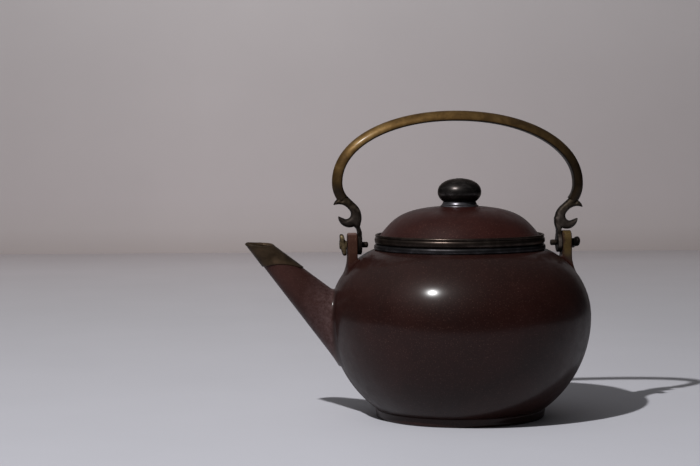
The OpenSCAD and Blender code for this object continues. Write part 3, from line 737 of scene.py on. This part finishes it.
piece("knob_ball", *lathe([
    (STUD_BORE_R, COLLAR_Z + 0.01), (KNOB_SEAT_R, COLLAR_Z + 0.01), *knob_face[1:],
    (STUD_BORE_R + 0.02, KNOB_TOP - 0.2), (STUD_BORE_R, KNOB_TOP - 1.0),
], True), "lid", "grey_metal", knob_metal, "knob")
tail_z = WASHER_Z - WASHER_T
piece("knob_rivet", *lathe(soften([
    (0, tail_z - 1.15, 0), (2.0, tail_z - 1.1, 0.5), (2.6, tail_z - 0.5, 0.4), (2.6, tail_z - 0.02, 0.1),
    (STUD_R, tail_z - 0.02, 0), (STUD_R, KNOB_TOP - 0.1, 0), (1.75, KNOB_TOP - 0.1, 0.1),
    (1.7, KNOB_TOP + 0.02, 0.1), (1.2, KNOB_TOP + 0.06, 0.2), (0, KNOB_TOP + 0.08, 0),
]), segs=64), "lid", "grey_metal", band_metal, "knob_stud")
piece("washer_disc", *lathe(soften([
    (STUD_R + 0.05, WASHER_Z, 0), (WASHER_R, WASHER_Z, 0.25), (WASHER_R, tail_z, 0.25),
    (STUD_R + 0.05, tail_z, 0),
]), True, 96), "lid", "grey_metal", knob_metal, "knob_washer")


# Spout: a cone that runs softly into the belly, and its sleeve
tilt = math.radians(SPOUT_ANGLE)
lip = np.array([-LIP_X, 0, LIP_Z])
along = np.array([math.cos(tilt), 0, -math.sin(tilt)])
across = np.array([math.sin(tilt), 0, math.cos(tilt)])
slope = (SPOUT_ROOT_R - SPOUT_LIP_R) / SPOUT_LEN
bore_slope = (BORE_ROOT_R - BORE_LIP_R) / SPOUT_LEN


def spout_field(x, y, z):
    """A bored cone, hollow where it would fill the pot."""
    s = (x - lip[0]) * along[0] + (z - lip[2]) * along[2]
    t = (x - lip[0]) * across[0] + (z - lip[2]) * across[2]
    rho = np.hypot(t, y)
    cone = (rho - SPOUT_LIP_R - slope * s) / math.hypot(1, slope)
    bore = (rho - BORE_LIP_R - bore_slope * s) / math.hypot(1, bore_slope)
    wall = belly(x, y, z)
    solid = join(cone, wall + ROOT_SINK, SPOUT_JOIN)
    solid = np.maximum(np.maximum(solid, -wall - ROOT_DEPTH), cone - SPOUT_JOIN + JOIN_TRIM)
    return np.maximum(np.maximum(solid, -bore), z - LIP_Z + SPOUT_CUT)


points, faces = net(spout_field, *SPOUT_GRID)
piece("spout_cone", points, faces, "pot", "clay", spout_clay, "spout")


def on_spout(s, angle, radius):
    """A place round the spout's axis, s along it from the lip."""
    return lip + along * s + radius * (math.cos(angle) * across + math.sin(angle) * np.array([0, 1, 0]))


def sleeve_ends(angle):
    """Places along the cone where the sleeve's lower and upper edges lie."""
    arch_x, arch_z = -(LIP_X - FERRULE_H / math.tan(tilt)), LIP_Z - FERRULE_H + FERRULE_ARCH - ARCH_R
    found = []
    for edge in ("low", "high"):
        near, far = SLEEVE_SEARCH
        for _ in range(SEARCH_STEPS):
            mid = (near + far) / 2
            x, y, z = on_spout(mid, angle, SPOUT_LIP_R + slope * mid + FERRULE_T)
            bow = math.sqrt(max(ARCH_R ** 2 - (x - arch_x) ** 2, 0)) + arch_z
            level = LIP_Z - 0.4 + LIP_LEAN * y if edge == "high" else max(LIP_Z - FERRULE_H, bow)
            near, far = (mid, far) if z > level else (near, mid)
        found.append(near)
    return found


LOW_EDGE = ((0.0, -0.02), (0.0, 0.34), (0.012, 0.46), (0.03, 0.5))
LIP_BEAD = ((0.9, 0.52), (0.55, 0.62), (0.25, 0.58), (0.05, 0.36), (0.0, 0.05), (0.03, -0.35), (0.25, -0.75))
sleeve = []
for turn in np.linspace(0, 2 * math.pi, 128, endpoint=False):
    low, high = sleeve_ends(turn)
    outer_rows = [(low + (high - low) * share, out) for share, out in LOW_EDGE]
    outer_rows += [(low + (high - low) * share, FERRULE_T) for share in np.linspace(0.1, 0.9, 12)]
    outer_rows += [(high + back, out) for back, out in LIP_BEAD]
    inner_rows = [(high + back, -0.02) for back in (1.0, 2.0, 4.0, 8.0)]
    inner_rows.append((max(low - 0.3, high + 9), 0.4))
    sleeve.append(
        [on_spout(s, turn, SPOUT_LIP_R + slope * s + out) for s, out in outer_rows]
        + [on_spout(s, turn, BORE_LIP_R + bore_slope * s + out) for s, out in inner_rows]
    )
piece("spout_sleeve", *tube(sleeve, True), "pot", "grey_metal", ferrule_metal, "spout_ferrule")


# Lugs, bolts and nuts: made on the +X side, and mirrored for the spout's side
def lug_field(x, y, z):
    """An upright tab whose foot flares into the pot."""
    drop = np.clip(FLARE_Z - z, 0, FLARE_R * math.sin(FLARE_SWEEP))
    bow = FOOT_BOW * np.minimum(drop / 3, 1) * y * y
    outer = LUG_OUT + FLARE_R - np.sqrt(FLARE_R ** 2 - drop ** 2) - bow
    drop = np.clip(FLARE_Z - z, 0, SIDE_FLARE_SHARE * SIDE_FLARE_R)
    half = LUG_W / 2 + SIDE_FLARE_R - np.sqrt(SIDE_FLARE_R ** 2 - drop ** 2)
    crown_z = LUG_TOP - LUG_W / 2
    side = np.where(z > crown_z, np.hypot(y, z - crown_z) - LUG_W / 2, np.abs(y) - half)
    core = meet(LUG_IN - x, side, LUG_EDGE)
    wall = belly(x, y, z)
    solid = meet(join(core, wall + ROOT_SINK, LUG_JOIN), np.hypot(x, y) - outer, LUG_EDGE)
    return np.maximum(np.maximum(solid, -wall - ROOT_DEPTH), core - LUG_JOIN + JOIN_TRIM)


def on_pivot(points, x):
    """Turns points made about Z so that Z runs outwards along the pivots, from a place on them."""
    p = np.asarray(points, float)
    return np.stack([p[:, 2] + x, p[:, 1], PIVOT_Z - p[:, 0]], -1)


def nut_field(turn):
    """Two lens-shaped lobes on a bored hub, turned by an angle in degrees."""
    c, s = math.cos(math.radians(turn)), math.sin(math.radians(turn))

    def field(x, y, z):
        a, b = -(z - PIVOT_Z), y
        u, v = a * c + b * s, b * c - a * s
        w = x - NUT_IN - NUT_L / 2
        lobe = np.hypot((np.abs(u) - LOBE_PITCH) / LOBE_LENGTH, v)
        lens = LOBE_T / 2 + LENS_FULL - LENS_FALL * np.maximum(lobe - LENS_FLAT_R, 0)
        lobes = plate(lobe - LOBE_R, w + LOBE_LEAN * u, lens, LOBE_EDGE)
        hub = plate(np.hypot(u, v) - HUB_R, w, NUT_L / 2, HUB_EDGE)
        return np.maximum(join(lobes, hub, NUT_JOIN), BORE_R - np.hypot(u, v))

    return field


def mirrored(points):
    """The same points on the spout's side."""
    return np.asarray(points, float) * (-1, 1, 1)


bolt_start = TANG_IN - 0.3 - BOLT_HEAD_L
bolt_end = NUT_IN + NUT_L - bolt_start
bolt_points, bolt_faces = lathe([
    *[(BOLT_HEAD_R * math.sin(a), 0.72 * (1 - math.cos(a))) for a in np.linspace(0, 1.45, 12)],
    (BOLT_HEAD_R, 0.9), (BOLT_HEAD_R, BOLT_HEAD_L - 0.25), (BOLT_HEAD_R - 0.15, BOLT_HEAD_L),
    (BOLT_R, BOLT_HEAD_L), (BOLT_R, bolt_end - 0.25), (BOLT_R - 0.2, bolt_end - 0.05), (0, bolt_end),
], segs=48)
bolt_points = on_pivot(bolt_points, bolt_start)
lug_points, lug_faces = net(lug_field, *LUG_GRID)
for side, place, turn, clay_look, clay_slot, nut_look, nut_slot in (
    ("front", mirrored, 8, lug_clay, "clay", nut_metal, "brass"),
    ("rear", np.asarray, 78, ochre_clay, "ochre_clay", black_metal, "dark_metal"),
):
    piece(side + "_lug_clay", place(lug_points), lug_faces, "pot", clay_slot, clay_look, side + "_lug")
    bolt = (side + "_pivot_bolt", place(bolt_points), bolt_faces)
    piece(*bolt, "pot", "dark_metal", tang_metal, side + "_bolt")
    points, faces = net(nut_field(turn), *NUT_GRID)
    piece(side + "_nut", place(points), faces, side + "_nut", nut_slot, nut_look, side + "_wing_nut")


# Handle: the bail, and a crescent and tang at each end
def leaning(points):
    """Leans and shifts the handle as it stands on the pot."""
    p = np.asarray(points, float) - (0, 0, PIVOT_Z)
    c, s = math.cos(LEAN), math.sin(LEAN)
    return np.stack([p[:, 0] * c + p[:, 2] * s - SHIFT, p[:, 1], -p[:, 0] * s + p[:, 2] * c + PIVOT_Z], -1)


def upright(x, z):
    """The place before leaning of a place on the leaning handle."""
    c, s = math.cos(LEAN), math.sin(LEAN)
    a, b = x + SHIFT, z - PIVOT_Z
    return a * c - b * s, a * s + b * c + PIVOT_Z


# One half of the bail from its top: place, outward direction, and share of the way to its end
LOOP_SHARE = 26 / 32
half_path = []
for t in np.linspace(90, 0, 90):
    x = math.cos(math.radians(t)) ** (2 / BAIL_FULLNESS)
    z = math.sin(math.radians(t)) ** (2 / BAIL_FULLNESS)
    gx, gz = x ** (BAIL_FULLNESS - 1) / BAIL_HALF, z ** (BAIL_FULLNESS - 1) / BAIL_RISE
    g = math.hypot(gx, gz)
    half_path.append((BAIL_HALF * x, BAIL_WIDE_Z + BAIL_RISE * z, gx / g, gz / g, (90 - t) / 90 * LOOP_SHARE))
for a in np.linspace(0, CURL_ANGLE, 18)[1:]:
    c, s = math.cos(math.radians(a)), math.sin(math.radians(a))
    share = LOOP_SHARE + (1 - LOOP_SHARE) * a / CURL_ANGLE
    half_path.append((BAIL_HALF - CURL_R * (1 - c), BAIL_WIDE_Z - CURL_R * s, c, -s, share))
path = [(-x, z, -nx, nz, share) for x, z, nx, nz, share in reversed(half_path[1:])] + half_path
section = np.linspace(0, 2 * math.pi, 44, endpoint=False)
rings = []
for x, z, nx, nz, share in path:
    depth = BAIL_DEPTH + (HANGER_T - BAIL_DEPTH) * share * share
    ring = []
    for a in section:
        c, s = math.cos(a), math.sin(a)
        power, reach = (2 / DOME_FULLNESS, BAIL_T - BAIL_EDGE) if c > 0 else (2 / FLAT_FULLNESS, BAIL_EDGE)
        u = BAIL_EDGE - BAIL_T / 2 + reach * math.copysign(abs(c) ** power, c)
        v = depth / 2 * math.copysign(abs(s) ** power, s)
        ring.append((x + nx * u, v, z + nz * u))
    rings.append(ring)
points, faces = tube(rings)
piece("bail_strap", leaning(points), faces, "handle", "brass", bail_brass, "bail_grip")

normal = np.array([math.cos(math.radians(CURL_ANGLE)), -math.sin(math.radians(CURL_ANGLE))])
upward = np.array([-normal[1], normal[0]])
inner_side = np.array(JOINT) - normal * BAIL_T / 2
root_top = np.array(JOINT) + upward * ROOT_UP
hook = np.array([TANG_X, PIVOT_Z])
crescent = outline_field([
    tuple(root_top - normal * (BAIL_T / 2 - ROOT_INSET)), tuple(inner_side + normal * 0.25),
    *arc(hook + (8.55, 12.3), 9.75, (130, 180)),
    *arc(hook + (6.05, 12.3), 7.25, (184, 222)),
    *arc(hook + (4.5, 13.2), 5.2, (245, 355)),
    *arc(hook + (6.2, 14.3), 2.85, (276, 150)),
    *arc(hook + (9.84, 12.2), 7.05, (150, 72))[1:],
    *[tuple(hook + q) for q in ((12.3, 18.9), (11.8, 20.2), (11.0, 21.3), (10.1, 21.95), (9.0, 22.0))],
    tuple(np.array(JOINT) + normal * BAIL_T / 4), tuple(root_top + normal * BAIL_T / 4),
])


def tang_outline(move):
    """A strip up from the pivot, cranked sideways by a distance."""
    crank_z = TANG_BEND + TANG_BEND_H
    return outline_field([
        (TANG_IN, PIVOT_Z), (TANG_OUT, PIVOT_Z), (TANG_OUT, TANG_BEND), (TANG_OUT + move, crank_z),
        (TANG_OUT + move, TANG_TOP), (TANG_IN + move, TANG_TOP), (TANG_IN + move, crank_z),
        (TANG_IN, TANG_BEND),
    ])


def hanger_field(sign):
    """Field of one hanger, on its own side; sign is -1 on the spout's side."""
    tang = tang_outline(-sign * TANG_SET)

    def field(x, y, z):
        a, b = upright(sign * x - HOOK_SHIFT, z)
        a = sign * a
        away = np.hypot(a - TANG_X - HOOK_MIDDLE[0], b - PIVOT_Z - HOOK_MIDDLE[1])
        fuller = FULLER * np.clip((JOINT[1] - b) / FULLER_FADE, 0, 1)
        half = HANGER_T / 2 - HOOK_THINS * np.maximum(away - HOOK_FULL_R, 0)
        hook_part = plate(crescent(a, b) - fuller, y, half, HOOK_EDGE)
        narrowing = TANG_NARROWS * np.clip((z - TANG_BEND) / TANG_BEND_H, 0, 1)
        strip = plate(tang(x, z), y, TANG_W / 2 - narrowing, PLATE_EDGE)
        eye = plate(np.hypot(y, z - PIVOT_Z) - EYE_R, x - TANG_X, (TANG_OUT - TANG_IN) / 2, PLATE_EDGE)
        bore = BORE_R - np.hypot(y, z - PIVOT_Z)
        return np.maximum(join(join(strip, eye, EYE_JOIN), hook_part, HOOK_JOIN), bore)

    return field


for side, sign, place, look in (("front", -1, mirrored, front_metal), ("rear", 1, np.asarray, rear_metal)):
    points, faces = net(hanger_field(sign), *HANGER_GRID)
    piece(side + "_crescent", place(points), faces, "handle", "dark_metal", look, side + "_hanger")


# Stage: a pale floor and a backdrop behind it, square to the view
VIEW_TURN = math.radians(-6)
view_right = Vector((math.cos(VIEW_TURN), math.sin(VIEW_TURN), 0))
view_away = Vector((-math.sin(VIEW_TURN), math.cos(VIEW_TURN), 0))
up = Vector((0, 0, 1))
WALL_AWAY, WALL_H, STAGE_NEAR, STAGE_HALF = 1.215, 1.1, -0.34, 0.8


def stage_sheet(name, start, end, material):
    """A sheet as wide as the stage between two lines, each given as (distance away, height)."""
    corners = [
        view_away * y + up * z + view_right * (STAGE_HALF * side)
        for (y, z), side in ((start, -1), (start, 1), (end, 1), (end, -1))
    ]
    mesh = bpy.data.meshes.new(name)
    mesh.from_pydata([tuple(q) for q in corners], [], [(0, 1, 2, 3)])
    mesh.materials.append(material)
    obj = bpy.data.objects.new(name, mesh)
    scene.collection.objects.link(obj)


def stage_paint(name, axis, tones, across):
    """Matt paint whose tone changes along one axis, with a share of it across the picture: painted light and
    shade on the stage.
    """
    look = Paint(name, Roughness=0.8, Specular_IOR_Level=0.15)
    low, high = tones[0][0], tones[-1][0]
    along_axis = look.ramp(
        look.span(look.axis(axis), low, high),
        *[((at - low) / (high - low), rgb(*tone)) for at, tone in tones]
    )
    left, right = across[0][0], across[-1][0]
    painted_shade_across = look.ramp(
        look.span(look.axis("X"), left, right),
        *[((at - left) / (right - left), (share, share, share, 1)) for at, share in across]
    )
    shade = look.math("MULTIPLY", painted_shade_across, look.span(look.noise(9, 3), 0.3, 0.7, 0.985, 1.015))
    look.to("Base Color", look.mix(1.0, along_axis, shade, "MULTIPLY"))
    return look.material


# Painted light and shade: the floor is palest near the front, and darker far off and to the right
floor_paint = stage_paint(
    "floor_paint", "Y",
    ((-0.2, (190, 190, 198)), (0.5, (184, 182, 187)), (1.0, (182, 177, 180)), (1.24, (168, 161, 163))),
    ((-0.24, 0.96), (-0.08, 1.0), (0.05, 0.95), (0.2, 0.86), (0.45, 0.8)),
)
# Painted shade: the wall is darker low down by the floor and to the right
wall_paint = stage_paint(
    "wall_paint", "Z",
    (
        (0.0, (140, 132, 131)), (0.028, (149, 142, 142)), (0.061, (152, 145, 146)), (0.2, (155, 149, 150)),
        (0.34, (163, 158, 159)),
    ),
    ((-0.3, 0.885), (-0.09, 1.0), (0.05, 0.985), (0.45, 0.79)),
)
stage_sheet("floor", (STAGE_NEAR, 0), (WALL_AWAY, 0), floor_paint)
stage_sheet("backdrop", (WALL_AWAY, 0), (WALL_AWAY, WALL_H), wall_paint)

# Camera at the photograph's angle
CAMERA_PLACE = (-0.1551, -0.9542, 0.1471)
CAMERA_AHEAD = (0.1044, 0.9929, -0.0575)
CAMERA_ROLL = math.radians(0.35)
camera_data = bpy.data.cameras.new("camera")
camera_data.lens = 100
camera_data.sensor_width = 36
camera_data.clip_end = 50
camera = bpy.data.objects.new("camera", camera_data)
scene.collection.objects.link(camera)
ahead = Vector(CAMERA_AHEAD).normalized()
right = ahead.cross(up).normalized()
above = right.cross(ahead)
tilted_right = right * math.cos(CAMERA_ROLL) - above * math.sin(CAMERA_ROLL)
tilted_up = right * math.sin(CAMERA_ROLL) + above * math.cos(CAMERA_ROLL)
camera_turn = Matrix((tilted_right, tilted_up, -ahead)).transposed().to_4x4()
camera.matrix_world = Matrix.Translation(CAMERA_PLACE) @ camera_turn
scene.camera = camera

# Light: one small lamp with an even reach, and a soft fill from above that is stronger from the left; the
# camera itself sees a plain grey beyond the stage
LAMP_PLACE, LAMP_RADIUS, LAMP_STRENGTH = (-0.457, -0.560, 0.815), 0.013, 40.0
lamp_data = bpy.data.lights.new("key_lamp", "POINT")
lamp_data.shadow_soft_size = LAMP_RADIUS
lamp_data.energy = 1.0
lamp_data.use_nodes = True
lamp_nodes = lamp_data.node_tree
falloff = lamp_nodes.nodes.new("ShaderNodeLightFalloff")
falloff.inputs["Strength"].default_value = LAMP_STRENGTH
lamp_nodes.links.new(falloff.outputs["Constant"], lamp_nodes.nodes["Emission"].inputs["Strength"])
lamp = bpy.data.objects.new("key_lamp", lamp_data)
lamp.location = LAMP_PLACE
scene.collection.objects.link(lamp)
world = bpy.data.worlds.new("studio")
scene.world = world
world.use_nodes = True
sky = world.node_tree
way = sky.nodes.new("ShaderNodeSeparateXYZ")
sky.links.new(sky.nodes.new("ShaderNodeTexCoord").outputs["Generated"], way.inputs[0])


def sky_level(axis, spread, low, high, to_low, to_high):
    """A level that changes with one part of the direction in the sky."""
    made = sky.nodes.new("ShaderNodeMapRange")
    made.interpolation_type = spread
    for key, number in zip(("From Min", "From Max", "To Min", "To Max"), (low, high, to_low, to_high)):
        made.inputs[key].default_value = number
    sky.links.new(way.outputs[axis], made.inputs["Value"])
    return made.outputs["Result"]


strength = sky.nodes.new("ShaderNodeMath")
strength.operation = "MULTIPLY"
sky.links.new(sky_level("Z", "SMOOTHSTEP", 0.1, 1.0, 0.012, 0.17), strength.inputs[0])
sky.links.new(sky_level("X", "LINEAR", -1.0, 1.0, 2.6, 0.2), strength.inputs[1])
fill = sky.nodes["Background"]
fill.inputs["Color"].default_value = (0.98, 0.99, 1.0, 1.0)
sky.links.new(strength.outputs["Value"], fill.inputs["Strength"])
surround = sky.nodes.new("ShaderNodeBackground")
surround.inputs["Color"].default_value = rgb(156, 150, 152)
choose = sky.nodes.new("ShaderNodeMixShader")
sky.links.new(sky.nodes.new("ShaderNodeLightPath").outputs["Is Camera Ray"], choose.inputs["Fac"])
sky.links.new(fill.outputs["Background"], choose.inputs[1])
sky.links.new(surround.outputs["Background"], choose.inputs[2])
sky.links.new(choose.outputs["Shader"], sky.nodes["World Output"].inputs["Surface"])
